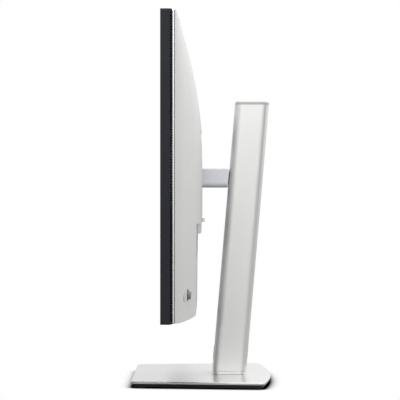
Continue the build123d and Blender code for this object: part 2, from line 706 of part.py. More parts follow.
with BuildPart() as trim_ring:
    with BuildSketch(upright(FRAME_REAR)):
        trim_outline(TRIM_INSET)
    extrude(amount=TRIM_D - TRIM_GAP, dir=BACK)
    with BuildSketch(upright(COVER_Y - TRIM_GAP)):
        trim_outline(TRIM_STEP)
    extrude(amount=TRIM_GAP, dir=BACK)
trim_ring.part.label = "trim_ring"
export_step(trim_ring.part, "parts/trim_ring.step")

with BuildPart() as display_panel:
    with BuildSketch(upright(GLASS_FRONT)):
        with Locations((0, HEAD_Z + CHIN_H / 2)):
            Rectangle(GLASS_W, GLASS_H - CHIN_H)
    extrude(amount=GLASS_T, dir=BACK)
display_panel.part.label = "display_panel"
export_step(display_panel.part, "parts/display_panel.step")

with BuildPart() as chin_strip:
    with BuildSketch(upright(HEAD_FRONT)):
        with Locations((0, HEAD_Z - GLASS_H / 2 + CHIN_H / 2)):
            Rectangle(GLASS_W, CHIN_H - 0.2)
    extrude(amount=GLASS_FRONT + GLASS_T - HEAD_FRONT, dir=BACK)
chin_strip.part.label = "chin_strip"
export_step(chin_strip.part, "parts/chin_strip.step")

# ================================================================ head: backlight stack

STACK_Y = GLASS_FRONT + GLASS_T + 0.1
FILM_T, GUIDE_T, REFLECTOR_T, TRAY_T = 0.8, 3.0, 0.3, 1.0
STACK_W, STACK_H = GLASS_W - 5, GLASS_H - 6
LED_H = 5.0
GUIDE_Y = STACK_Y + FILM_T
REFLECTOR_Y = GUIDE_Y + GUIDE_T
PANEL_TRAY_Y = REFLECTOR_Y + REFLECTOR_T

with BuildPart() as optical_films:
    with BuildSketch(upright(STACK_Y)):
        with Locations((0, HEAD_Z)):
            Rectangle(STACK_W, STACK_H)
    extrude(amount=FILM_T, dir=BACK)
optical_films.part.label = "optical_films"
export_step(optical_films.part, "parts/optical_films.step")

with BuildPart() as light_guide:
    with BuildSketch(upright(GUIDE_Y)):
        with Locations((0, HEAD_Z + LED_H / 2)):
            Rectangle(STACK_W, STACK_H - LED_H)
    extrude(amount=GUIDE_T, dir=BACK)
light_guide.part.label = "light_guide"
export_step(light_guide.part, "parts/light_guide.step")

with BuildPart() as reflector_sheet:
    with BuildSketch(upright(REFLECTOR_Y)):
        with Locations((0, HEAD_Z)):
            Rectangle(STACK_W, STACK_H)
    extrude(amount=REFLECTOR_T, dir=BACK)
reflector_sheet.part.label = "reflector_sheet"
export_step(reflector_sheet.part, "parts/reflector_sheet.step")

LED_PITCH = 8.0
LED_COUNT = 74
LED_W, LED_D, LED_T = 4.0, 1.8, 1.2
LED_BOARD_T = 1.0
ON_EDGE = (Align.CENTER, Align.MIN, Align.MIN)
LED_STRIP_Z = HEAD_Z - STACK_H / 2
with BuildPart() as led_strip:
    with Locations((0, GUIDE_Y, LED_STRIP_Z)):
        Box(STACK_W - 2, GUIDE_T - 0.2, LED_BOARD_T, align=ON_EDGE)
    with Locations((0, GUIDE_Y + 0.5, LED_STRIP_Z + LED_BOARD_T)):
        with GridLocations(LED_PITCH, 0, LED_COUNT, 1):
            Box(LED_W, LED_D, LED_T, align=ON_EDGE)
led_strip.part.label = "led_strip"
export_step(led_strip.part, "parts/led_strip.step")

with BuildPart() as panel_tray:
    with BuildSketch(upright(PANEL_TRAY_Y)):
        with Locations((0, HEAD_Z)):
            Rectangle(GLASS_W - 1, GLASS_H - 1)
    extrude(amount=TRAY_T, dir=BACK)
    with BuildSketch(upright(STACK_Y)):
        ring(GLASS_W - 1, GLASS_H - 1, STACK_W + 0.6, STACK_H + 0.6, 0.8)
    extrude(amount=PANEL_TRAY_Y - STACK_Y, dir=BACK)
panel_tray.part.label = "panel_tray"
export_step(panel_tray.part, "parts/panel_tray.step")

# ================================================================ head: back cover

TOP_CURVE, SIDE_CURVE = 2.5, 0.72
BOTTOM_SINK = 2.6
RIM_SHARE = 0.27
DOME_SECTIONS = (COVER_BOTTOM, 138, 184, 230, 270, 310, 346, 380, 412, COVER_TOP)


def crown(z):
    """Depth of the dome on its middle line: flat behind the stand, thinning to the top edge."""
    above = max(0.0, (z - PLATEAU_Z) / (COVER_TOP - PLATEAU_Z))
    below = max(0.0, (PLATEAU_Z - z) / (PLATEAU_Z - COVER_BOTTOM))
    return DOME_D - (DOME_D - DOME_TOP_D) * above**TOP_CURVE - BOTTOM_SINK * below**2


def dome_depth(x, z):
    """Depth of the dome's surface over the cover's front face."""
    return DOME_RIM + crown(z) * (1 - (x / COVER_HALF) ** 2) ** SIDE_CURVE


def dome_section(z, inset):
    """One level cut through the dome: steep at the sides, then crowning gently."""
    half = COVER_HALF - inset
    rim = COVER_Y + DOME_RIM - inset * RIM_SHARE
    depth = crown(z) - inset * (1 - RIM_SHARE)
    front = COVER_Y - inset
    points = []
    for angle in range(-90, 91, 15):
        across, bulge = sin(radians(angle)), cos(radians(angle)) ** (2 * SIDE_CURVE)
        points.append((half * across, rim + depth * bulge))
    with BuildLine() as outline:
        Spline(*points)
        Polyline(points[-1], (half, front), (-half, front), points[0])
    make_face(outline.edges())


def dome_body(inset):
    """The dome as a solid, pulled in by the inset on every side but the front."""
    lowest, highest = COVER_BOTTOM + inset, COVER_TOP - inset
    sections = []
    for level in DOME_SECTIONS:
        level = min(max(level, lowest), highest)
        with BuildSketch(Plane.XY.offset(level)) as section:
            dome_section(level, inset)
        sections.append(section.sketch.face())
    loft(sections)


PLATE_POCKET_HALF = 60.0
PLATE_POCKET_TOP = 319.0
BAY_FLOOR_Y = RECESS_Y - 18.5
BAY_BOTTOM = 158.0
BAYS = ((-136.0, -30.0), (30.0, 142.0))
BAY_WALL_H = 22.0
RECESS_BOTTOM_Y = RECESS_Y - 1.0
FAR_BACK = 60.0


def recesses(grow):
    """The hollows in the back: the flat below the ledge, the stand pocket and two socket bays."""
    with BuildSketch(side(-COVER_HALF)) as flat:
        with BuildLine():
            Polyline(
                (RECESS_Y - grow, LEDGE_Z + grow),
                (FAR_BACK, LEDGE_Z + grow),
                (FAR_BACK, COVER_BOTTOM - 10),
                (RECESS_BOTTOM_Y - grow, COVER_BOTTOM - 10),
                close=True,
            )
        make_face()
    extrude(flat.sketch, amount=2 * COVER_HALF, mode=Mode.SUBTRACT)
    with BuildSketch(upright(RECESS_Y - grow)) as pocket:
        with Locations((0, (PLATE_POCKET_TOP + LEDGE_Z) / 2)):
            Rectangle(2 * (PLATE_POCKET_HALF + grow), PLATE_POCKET_TOP - LEDGE_Z + 2 * grow)
    extrude(pocket.sketch, amount=FAR_BACK - RECESS_Y, dir=BACK, mode=Mode.SUBTRACT)
    for left, right in BAYS:
        with BuildSketch(side(left - grow)) as bay:
            with BuildLine():
                Polyline(
                    (BAY_FLOOR_Y - grow, LEDGE_Z + grow),
                    (FAR_BACK, LEDGE_Z + grow),
                    (FAR_BACK, BAY_BOTTOM - grow),
                    (RECESS_Y - grow, BAY_BOTTOM - grow),
                    (BAY_FLOOR_Y - grow, LEDGE_Z - BAY_WALL_H),
                    close=True,
                )
            make_face()
        extrude(bay.sketch, amount=right - left + 2 * grow, mode=Mode.SUBTRACT)


# Control corner at the lower right, seen from behind at the left
STICK_X, STICK_Z, STICK_SLANT = 244.6, 121.5, 8.2
POWER_X, POWER_Z, POWER_SLANT = 270.0, 121.0, 10.4
DISH_R = 7.3
POWER_R = 5.4


def slanted(x, z, slant, sink):
    """A plane facing out of the dome at (x, z), turned towards the side by the slant."""
    turn = radians(slant)
    depth = COVER_Y + dome_depth(x, z) - sink
    return Plane(origin=(x, depth, z), x_dir=UP, z_dir=(sin(turn), cos(turn), 0))


STICK = slanted(STICK_X, STICK_Z, STICK_SLANT, 1.3)
POWER = slanted(POWER_X, POWER_Z, POWER_SLANT, 0.2)

# Sockets, all facing down: middle x, nearest y, width and depth of each
SOCKET_Y = RECESS_Y - 14.5
MAINS = (-78.0, RECESS_Y - 18.0, 28.0, 20.0)
VIDEO = (43.0, SOCKET_Y, 15.0, 5.6)
DISPLAY = (62.5, SOCKET_Y, 16.0, 5.8)
TYPE_C = (79.5, SOCKET_Y, 9.2, 3.4)
TYPE_A_1 = (95.0, SOCKET_Y, 13.8, 6.4)
TYPE_A_2 = (112.5, SOCKET_Y, 13.8, 6.4)
NETWORK = (130.0, SOCKET_Y, 16.0, 13.6)

BUTTON_HALF = 13.0
BUTTON_BOTTOM, BUTTON_TOP = 188.2, 201.3
CATCH_HALF = 8.0
CATCH_TOP = TONGUE_BOTTOM - 0.4
SHAFT_HOLE_R = PIVOT_R + 5.0
BOSS_R, BOSS_HOLE_R = 4.3, 4.7
CLEARANCE = 0.4

with BuildPart() as dome:
    dome_body(0)

with BuildPart() as cavity:
    dome_body(COVER_WALL)
    recesses(COVER_WALL)

with BuildPart() as back_cover:
    add(dome.part)
    recesses(0)
    add(cavity.part, mode=Mode.SUBTRACT)
    with BuildSketch(upright(RECESS_Y - 20)):
        with Locations((0, NECK_Z)):
            Circle(SHAFT_HOLE_R)
            with GridLocations(VESA, VESA, 2, 2):
                Circle(BOSS_HOLE_R)
        with Locations((0, (BUTTON_BOTTOM + BUTTON_TOP) / 2)):
            Rectangle(2 * (BUTTON_HALF + CLEARANCE), BUTTON_TOP - BUTTON_BOTTOM + 2 * CLEARANCE)
        with Locations((0, CATCH_TOP - 4)):
            Rectangle(2 * (CATCH_HALF + CLEARANCE), 8 + 2 * CLEARANCE)
    extrude(amount=22, dir=BACK, mode=Mode.SUBTRACT)
    for plane, radius in ((STICK, DISH_R), (POWER, POWER_R + 0.3)):
        with BuildSketch(plane.offset(-8)):
            Circle(radius)
        extrude(amount=20, mode=Mode.SUBTRACT)
    for centre_x, near_y, width, depth in (MAINS, VIDEO, DISPLAY, TYPE_C, TYPE_A_1, TYPE_A_2, NETWORK):
        with BuildSketch(Plane.XY.offset(LEDGE_Z - 1)):
            with Locations((centre_x, near_y + depth / 2)):
                Rectangle(width + CLEARANCE, depth + CLEARANCE)
        extrude(amount=COVER_WALL + 2, mode=Mode.SUBTRACT)
back_cover.part.label = "back_cover"
export_step(back_cover.part, "parts/back_cover.step")

# ================================================================ head: bracket and boards

TRAY_BACK = PANEL_TRAY_Y + TRAY_T
BRACKET_REAR = RECESS_Y - COVER_WALL - 0.3
BRACKET_T = 1.4
BRACKET_HALF = 66.0
BRACKET_TOP, BRACKET_BOTTOM = 330.0, 206.0
FOOT_HALF = 26.0
THREAD_DEPTH = 7.2

with BuildPart() as vesa_bracket:
    with BuildSketch(upright(BRACKET_REAR - BRACKET_T)):
        with Locations((0, (BRACKET_TOP + BRACKET_BOTTOM) / 2)):
            Rectangle(2 * BRACKET_HALF, BRACKET_TOP - BRACKET_BOTTOM)
        with Locations((0, NECK_Z)):
            Circle(SHAFT_HOLE_R, mode=Mode.SUBTRACT)
        with Locations((-BRACKET_HALF, BRACKET_BOTTOM)):
            Rectangle(14, 40, mode=Mode.SUBTRACT)
    extrude(amount=BRACKET_T, dir=BACK)
    for half, level in ((BRACKET_HALF, BRACKET_TOP - BRACKET_T), (FOOT_HALF, BRACKET_BOTTOM)):
        with BuildSketch(Plane.XY.offset(level)):
            with Locations((0, (TRAY_BACK + BRACKET_REAR) / 2)):
                Rectangle(2 * half, BRACKET_REAR - TRAY_BACK)
        extrude(amount=BRACKET_T)
    with BuildSketch(upright(RECESS_Y - THREAD_DEPTH)):
        with Locations((0, NECK_Z)):
            with GridLocations(VESA, VESA, 2, 2):
                Circle(BOSS_R)
    extrude(amount=THREAD_DEPTH, dir=BACK)
    with BuildSketch(upright(RECESS_Y - THREAD_DEPTH)):
        with Locations((0, NECK_Z)):
            with GridLocations(VESA, VESA, 2, 2):
                Circle(M4_R)
    extrude(amount=THREAD_DEPTH, dir=BACK, mode=Mode.SUBTRACT)
vesa_bracket.part.label = "vesa_bracket"
export_step(vesa_bracket.part, "parts/vesa_bracket.step")

BOARD_T = 1.6
MAIN_REAR = SOCKET_Y
MAIN_X, MAIN_Z, MAIN_W, MAIN_H = 76.0, 265.0, 128.0, 114.0
POWER_REAR = TRAY_BACK + 7.0
SUPPLY_X, SUPPLY_Z, SUPPLY_W, SUPPLY_H = -76.0, 274.0, 124.0, 96.0
CORNER = (Align.CENTER, Align.MIN, Align.CENTER)

with BuildPart() as main_board:
    with Locations((MAIN_X, MAIN_REAR - BOARD_T, MAIN_Z)):
        Box(MAIN_W, BOARD_T, MAIN_H, align=CORNER)
    with Locations((MAIN_X - 14, MAIN_REAR, MAIN_Z + 8)):
        Box(30, 2.2, 30, align=CORNER)
    with Locations((MAIN_X + 26, MAIN_REAR, MAIN_Z + 20)):
        Box(14, 1.4, 20, align=CORNER)
    with Locations((MAIN_X + 44, MAIN_REAR, MAIN_Z - 8)):
        Box(10, 1.4, 10, align=CORNER)
main_board.part.label = "main_board"
export_step(main_board.part, "parts/main_board.step")

SHIELD_T = 0.8
SHIELD_REAR = RECESS_Y - 8.4
with BuildPart() as board_shield:
    with BuildSketch(upright(TRAY_BACK)):
        with Locations((MAIN_X, MAIN_Z + 8)):
            Rectangle(MAIN_W + 4, MAIN_H - 8)
    extrude(amount=SHIELD_REAR - TRAY_BACK, dir=BACK)
    with BuildSketch(upright(TRAY_BACK)):
        with Locations((MAIN_X, MAIN_Z)):
            Rectangle(MAIN_W + 4 - 2 * SHIELD_T, MAIN_H + 6)
    extrude(amount=SHIELD_REAR - SHIELD_T - TRAY_BACK, dir=BACK, mode=Mode.SUBTRACT)
board_shield.part.label = "board_shield"
export_step(board_shield.part, "parts/board_shield.step")

with BuildPart() as power_board:
    with Locations((SUPPLY_X, POWER_REAR - BOARD_T, SUPPLY_Z)):
        Box(SUPPLY_W, BOARD_T, SUPPLY_H, align=CORNER)
    with Locations((SUPPLY_X - 6, POWER_REAR, SUPPLY_Z + 14)):
        Box(32, 15, 28, align=CORNER)
    with Locations((SUPPLY_X + 34, POWER_REAR, SUPPLY_Z)):
        Box(3, 16, 60, align=CORNER)
    with BuildSketch(upright(POWER_REAR)):
        with Locations((SUPPLY_X - 42, SUPPLY_Z - 22), (SUPPLY_X - 42, SUPPLY_Z + 4)):
            Circle(9.0)
        with Locations((SUPPLY_X + 48, SUPPLY_Z + 26), (SUPPLY_X + 48, SUPPLY_Z + 10)):
            Circle(5.0)
    extrude(amount=16, dir=BACK)
power_board.part.label = "power_board"
export_step(power_board.part, "parts/power_board.step")

SCREW_INSET = 4.0
with BuildPart() as board_screws:
    for x, rear, z, width, height in (
        (MAIN_X, MAIN_REAR, MAIN_Z + 4, MAIN_W, MAIN_H - 8),
        (SUPPLY_X, POWER_REAR, SUPPLY_Z, SUPPLY_W, SUPPLY_H),
    ):
        with BuildSketch(upright(rear)):
            with Locations((x, z)):
                with GridLocations(width - 2 * SCREW_INSET, height - 2 * SCREW_INSET, 2, 2):
                    Circle(2.6)
        extrude(amount=1.4, dir=BACK)
board_screws.part.label = "board_screws"
export_step(board_screws.part, "parts/board_screws.step")

# Flat cable from the panel tray up to the main board, seen from the side
CABLE_X, CABLE_W, CABLE_T = 112.0, 22.0, 0.4
CABLE_LOW, CABLE_BEND, CABLE_HIGH = 250.0, 282.0, 290.0
CABLE_FRONT, CABLE_REAR = TRAY_BACK, MAIN_REAR - BOARD_T
CABLE_LAP = 4.0

with BuildPart() as panel_cable:
    with BuildSketch(side(CABLE_X - CABLE_W / 2)):
        with BuildLine():
            Polyline(
                (CABLE_FRONT, CABLE_LOW),
                (CABLE_FRONT, CABLE_BEND),
                (CABLE_REAR - CABLE_LAP, CABLE_HIGH),
                (CABLE_REAR, CABLE_HIGH),
                (CABLE_REAR, CABLE_HIGH - CABLE_T),
                (CABLE_REAR - CABLE_LAP, CABLE_HIGH - CABLE_T),
                (CABLE_FRONT + CABLE_T, CABLE_BEND - CABLE_T),
                (CABLE_FRONT + CABLE_T, CABLE_LOW),
                close=True,
            )
        make_face()
    extrude(amount=CABLE_W)
panel_cable.part.label = "panel_cable"
export_step(panel_cable.part, "parts/panel_cable.step")

# ================================================================ head: sockets

SOCKET_BOTTOM = LEDGE_Z + 0.3


def socket(place, height, wall, mouth_depth, tongue_w, tongue_t):
    """A box facing down with an open mouth, and a contact tongue standing inside it."""
    centre_x, near_y, width, depth = place
    centre = (centre_x, near_y + depth / 2)
    with BuildSketch(Plane.XY.offset(SOCKET_BOTTOM)) as outside:
        with Locations(centre):
            Rectangle(width, depth)
    extrude(outside.sketch, amount=height)
    with BuildSketch(Plane.XY.offset(SOCKET_BOTTOM)) as mouth:
        with Locations(centre):
            RectangleRounded(width - 2 * wall, depth - 2 * wall, 0.5)
            Rectangle(tongue_w, tongue_t, mode=Mode.SUBTRACT)
    extrude(mouth.sketch, amount=mouth_depth, mode=Mode.SUBTRACT)


with BuildPart() as video_sockets:
    for place in (VIDEO, DISPLAY):
        socket(place, height=12, wall=0.5, mouth_depth=9, tongue_w=11.0, tongue_t=0.9)
video_sockets.part.label = "video_sockets"
export_step(video_sockets.part, "parts/video_sockets.step")

# One small two-way socket and two wide flat ones
with BuildPart() as data_sockets:
    socket(TYPE_C, height=8, wall=0.3, mouth_depth=6.5, tongue_w=6.7, tongue_t=0.7)
    for place in (TYPE_A_1, TYPE_A_2):
        socket(place, height=13, wall=0.4, mouth_depth=10, tongue_w=11.0, tongue_t=1.8)
data_sockets.part.label = "data_sockets"
export_step(data_sockets.part, "parts/data_sockets.step")

with BuildPart() as network_socket:
    socket(NETWORK, height=13, wall=1.8, mouth_depth=10.5, tongue_w=8.0, tongue_t=1.0)
network_socket.part.label = "network_socket"
export_step(network_socket.part, "parts/network_socket.step")

# Mains inlet: an open mouth with three blades, all set back from its rim
INLET_X, INLET_Y = MAINS[0], MAINS[1] + MAINS[3] / 2
INLET_H, INLET_DEPTH = 18.0, 15.0
MOUTH_W, MOUTH_D, MOUTH_CORNER = 24.0, 16.4, 3.0
BLADE_T, BLADE_W, BLADE_SETBACK = 2.0, 4.0, 4.5
BLADES = [(INLET_X - 7, INLET_Y - 1.5), (INLET_X, INLET_Y + 2.5), (INLET_X + 7, INLET_Y - 1.5)]

with BuildPart() as mains_inlet:
    with BuildSketch(Plane.XY.offset(SOCKET_BOTTOM)):
        with Locations((INLET_X, INLET_Y)):
            Rectangle(MAINS[2], MAINS[3])
    extrude(amount=INLET_H)
    with BuildSketch(Plane.XY.offset(SOCKET_BOTTOM)):
        with Locations((INLET_X, INLET_Y)):
            RectangleRounded(MOUTH_W, MOUTH_D, MOUTH_CORNER)
        with Locations(*BLADES):
            Rectangle(BLADE_T, BLADE_W, mode=Mode.SUBTRACT)
    extrude(amount=INLET_DEPTH, mode=Mode.SUBTRACT)
    with BuildSketch(Plane.XY.offset(SOCKET_BOTTOM)):
        with Locations((INLET_X, INLET_Y)):
            RectangleRounded(MOUTH_W, MOUTH_D, MOUTH_CORNER)
    extrude(amount=BLADE_SETBACK, mode=Mode.SUBTRACT)
mains_inlet.part.label = "mains_inlet"
export_step(mains_inlet.part, "parts/mains_inlet.step")

# ================================================================ head: controls

GIMBAL_DEPTH = 4.6
GIMBAL_R, GIMBAL_HOLE_R, GIMBAL_T = 3.4, 2.1, 2.0
GIMBAL_PIN_R, STICK_PIN_R, PIN_CLEARANCE = 0.5, 0.4, 0.05
LUG_X, LUG_T, LUG_W, LUG_LENGTH = 3.7, 1.3, 2.6, 4.9
DISH_FLOOR_T, DISH_WALL = 1.2, 0.8
STICK_HOLE_R = 2.7
STICK_R, BALL_R = 1.0, 1.6
CAP_BOTTOM, CAP_TOP, CAP_R = 1.5, 4.5, 4.6
STICK_END = 2.7

with BuildPart() as joystick_dish:
    with BuildSketch(STICK.offset(-DISH_FLOOR_T)):
        Circle(DISH_R - 0.15)
    extrude(amount=12)
    with BuildSketch(STICK):
        Circle(DISH_R - 0.15 - DISH_WALL)
    extrude(amount=12, mode=Mode.SUBTRACT)
    add(dome.part, mode=Mode.INTERSECT)
    with BuildSketch(STICK.offset(-DISH_FLOOR_T)):
        with Locations((LUG_X + LUG_T / 2, 0), (-LUG_X - LUG_T / 2, 0)):
            Rectangle(LUG_T, LUG_W)
    extrude(amount=-LUG_LENGTH)
    with BuildSketch(STICK.offset(-DISH_FLOOR_T - 0.2)):
        Circle(STICK_HOLE_R)
    extrude(amount=3, mode=Mode.SUBTRACT)
    with Locations(STICK.location * Location((-6, 0, -GIMBAL_DEPTH), (0, 90, 0))):
        Cylinder(GIMBAL_PIN_R + PIN_CLEARANCE, 12, align=ON_FACE, mode=Mode.SUBTRACT)
joystick_dish.part.label = "joystick_dish"
export_step(joystick_dish.part, "parts/joystick_dish.step")

with BuildPart() as joystick_gimbal:
    with BuildSketch(STICK.offset(-GIMBAL_DEPTH - GIMBAL_T / 2)):
        Circle(GIMBAL_R)
    extrude(amount=GIMBAL_T)
    with Locations(STICK.location * Location((-4.8, 0, -GIMBAL_DEPTH), (0, 90, 0))):
        Cylinder(GIMBAL_PIN_R, 9.6, align=ON_FACE)
    with BuildSketch(STICK.offset(-GIMBAL_DEPTH - GIMBAL_T / 2)):
        Circle(GIMBAL_HOLE_R)
    extrude(amount=GIMBAL_T, mode=Mode.SUBTRACT)
    with Locations(STICK.location * Location((0, 5, -GIMBAL_DEPTH), (90, 0, 0))):
        Cylinder(STICK_PIN_R + PIN_CLEARANCE, 10, align=ON_FACE, mode=Mode.SUBTRACT)
joystick_gimbal.part.label = "joystick_gimbal"
export_step(joystick_gimbal.part, "parts/joystick_gimbal.step")

with BuildPart() as joystick_stick:
    with BuildSketch(STICK.offset(-GIMBAL_DEPTH)):
        Circle(STICK_R)
    extrude(amount=GIMBAL_DEPTH + STICK_END)
    with Locations(STICK.location * Location((0, 0, -GIMBAL_DEPTH))):
        Sphere(BALL_R)
    with Locations(STICK.location * Location((0, 3.1, -GIMBAL_DEPTH), (90, 0, 0))):
        Cylinder(STICK_PIN_R, 6.2, align=ON_FACE)
joystick_stick.part.label = "joystick_stick"
export_step(joystick_stick.part, "parts/joystick_stick.step")

with BuildPart() as joystick_cap:
    with BuildSketch(STICK.offset(CAP_BOTTOM)):
        Circle(CAP_R)
    extrude(amount=CAP_TOP - CAP_BOTTOM)
    fillet(joystick_cap.faces().sort_by(Axis(STICK.origin, STICK.z_dir))[-1].edges(), 0.6)
    with BuildSketch(STICK.offset(CAP_BOTTOM)):
        Circle(STICK_R + FIT)
    extrude(amount=STICK_END - CAP_BOTTOM + 0.7, mode=Mode.SUBTRACT)
joystick_cap.part.label = "joystick_cap"
export_step(joystick_cap.part, "parts/joystick_cap.step")

# Power button: a proud cap, a flange that stops it behind the cover and a post to its switch
POWER_PROUD, POWER_BODY = 0.8, 3.4
POWER_FLANGE_T, POWER_FLANGE = 1.2, 1.2
POWER_POST_R, POWER_POST = 1.5, 6.0

with BuildPart() as power_button:
    with BuildSketch(POWER.offset(-POWER_BODY)):
        Circle(POWER_R)
    extrude(amount=POWER_BODY + POWER_PROUD)
    fillet(power_button.faces().sort_by(Axis(POWER.origin, POWER.z_dir))[-1].edges(), 0.4)
    with BuildSketch(POWER.offset(-POWER_BODY - POWER_FLANGE_T)):
        Circle(POWER_R + POWER_FLANGE)
    extrude(amount=POWER_FLANGE_T)
    with BuildSketch(POWER.offset(-POWER_POST)):
        Circle(POWER_POST_R)
    extrude(amount=POWER_POST - POWER_BODY - POWER_FLANGE_T / 2)
power_button.part.label = "power_button"
export_step(power_button.part, "parts/power_button.step")

CONTROL_REAR = COVER_Y + 1.9
CONTROL_X, CONTROL_W, CONTROL_H = 257.0, 44.0, 24.0
with BuildPart() as button_board:
    with Locations((CONTROL_X, CONTROL_REAR - BOARD_T, STICK_Z)):
        Box(CONTROL_W, BOARD_T, CONTROL_H, align=CORNER)
    with Locations((POWER_X - 1.2, CONTROL_REAR, POWER_Z)):
        Box(6, 1.1, 6, align=CORNER)
    with Locations((STICK_X - 1, CONTROL_REAR, STICK_Z)):
        Box(9, 3.2, 9, align=CORNER)
button_board.part.label = "button_board"
export_step(button_board.part, "parts/button_board.step")

BUTTON_REAR = -0.7
BUTTON_FRONT = RECESS_Y - 9.7
BUTTON_MIDDLE = (BUTTON_BOTTOM + BUTTON_TOP) / 2
with BuildPart() as release_button:
    with BuildSketch(side(-BUTTON_HALF)):
        with Locations(((BUTTON_FRONT + BUTTON_REAR) / 2, BUTTON_MIDDLE)):
            Rectangle(BUTTON_REAR - BUTTON_FRONT, BUTTON_TOP - BUTTON_BOTTOM)
    extrude(amount=2 * BUTTON_HALF)
    rear_edges = edges().filter_by(Axis.X).group_by(Axis.Y)[-1].sort_by(Axis.Z)
    fillet(rear_edges[0], 3.2)
    rear_edges = edges().filter_by(Axis.X).group_by(Axis.Y)[-1].sort_by(Axis.Z)
    fillet(rear_edges[-1], 0.6)
release_button.part.label = "release_button"
export_step(release_button.part, "parts/release_button.step")

with BuildPart() as release_catch:
    with BuildSketch(side(-CATCH_HALF)):
        with Locations((RECESS_Y - 0.2, (BUTTON_TOP + CATCH_TOP) / 2)):
            Rectangle(4.4, CATCH_TOP - BUTTON_TOP)
    extrude(amount=2 * CATCH_HALF)
    chamfer(edges().filter_by(Axis.X).group_by(Axis.Z)[-1].sort_by(Axis.Y)[-1], 0.8)
release_catch.part.label = "release_catch"
export_step(release_catch.part, "parts/release_catch.step")

SPRING_R = 4.0
with BuildPart() as release_spring:
    with BuildSketch(upright(TRAY_BACK)):
        with Locations((0, BUTTON_MIDDLE)):
            Circle(SPRING_R)
            Circle(SPRING_R - 1, mode=Mode.SUBTRACT)
    extrude(amount=BUTTON_FRONT - TRAY_BACK, dir=BACK)
release_spring.part.label = "release_spring"
export_step(release_spring.part, "parts/release_spring.step")
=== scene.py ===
"""The looks of a desktop monitor on its stand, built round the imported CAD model. Metres, +Z up."""

import json
import math

import bpy
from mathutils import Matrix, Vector


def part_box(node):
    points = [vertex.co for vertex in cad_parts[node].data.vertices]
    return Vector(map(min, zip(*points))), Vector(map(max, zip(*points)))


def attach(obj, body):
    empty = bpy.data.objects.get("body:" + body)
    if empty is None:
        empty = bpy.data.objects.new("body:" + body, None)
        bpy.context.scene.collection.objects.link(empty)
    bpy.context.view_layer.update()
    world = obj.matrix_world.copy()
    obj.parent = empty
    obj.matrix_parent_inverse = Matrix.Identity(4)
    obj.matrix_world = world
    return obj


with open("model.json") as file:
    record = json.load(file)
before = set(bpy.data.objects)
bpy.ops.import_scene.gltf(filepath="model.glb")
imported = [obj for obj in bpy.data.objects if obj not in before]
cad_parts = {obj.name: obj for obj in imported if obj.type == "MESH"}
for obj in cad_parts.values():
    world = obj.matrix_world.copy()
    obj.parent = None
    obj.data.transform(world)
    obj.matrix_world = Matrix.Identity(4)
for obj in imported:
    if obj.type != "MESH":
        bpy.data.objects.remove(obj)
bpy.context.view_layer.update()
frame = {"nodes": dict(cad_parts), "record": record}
nodes = frame["nodes"]

# ---------------------------------------------------------------- camera

CAMERA_DISTANCE = 2.300
CAMERA_Y = 0.00625
CAMERA_HEIGHT = 0.2317
FOCAL_LENGTH = 159.8
SENSOR_WIDTH = 36.0
FRAMING_SHIFT = -0.0175


def make_camera():
    """A long lens from the viewer's right-hand side, level and square to the side."""
    data = bpy.data.cameras.new("camera")
    data.lens = FOCAL_LENGTH
    data.sensor_width = SENSOR_WIDTH
    data.shift_x = FRAMING_SHIFT
    data.clip_start = 0.05
    data.clip_end = 60.0
    camera = bpy.data.objects.new("camera", data)
    bpy.context.scene.collection.objects.link(camera)
    camera.location = (CAMERA_DISTANCE, CAMERA_Y, CAMERA_HEIGHT)
    camera.rotation_euler = (math.radians(90), 0, math.radians(90))
    bpy.context.scene.camera = camera


make_camera()

# ---------------------------------------------------------------- node helpers


RANGE_ENDS = ("From Min", "From Max", "To Min", "To Max")
NOISE_LOW, NOISE_HIGH = 0.25, 0.75


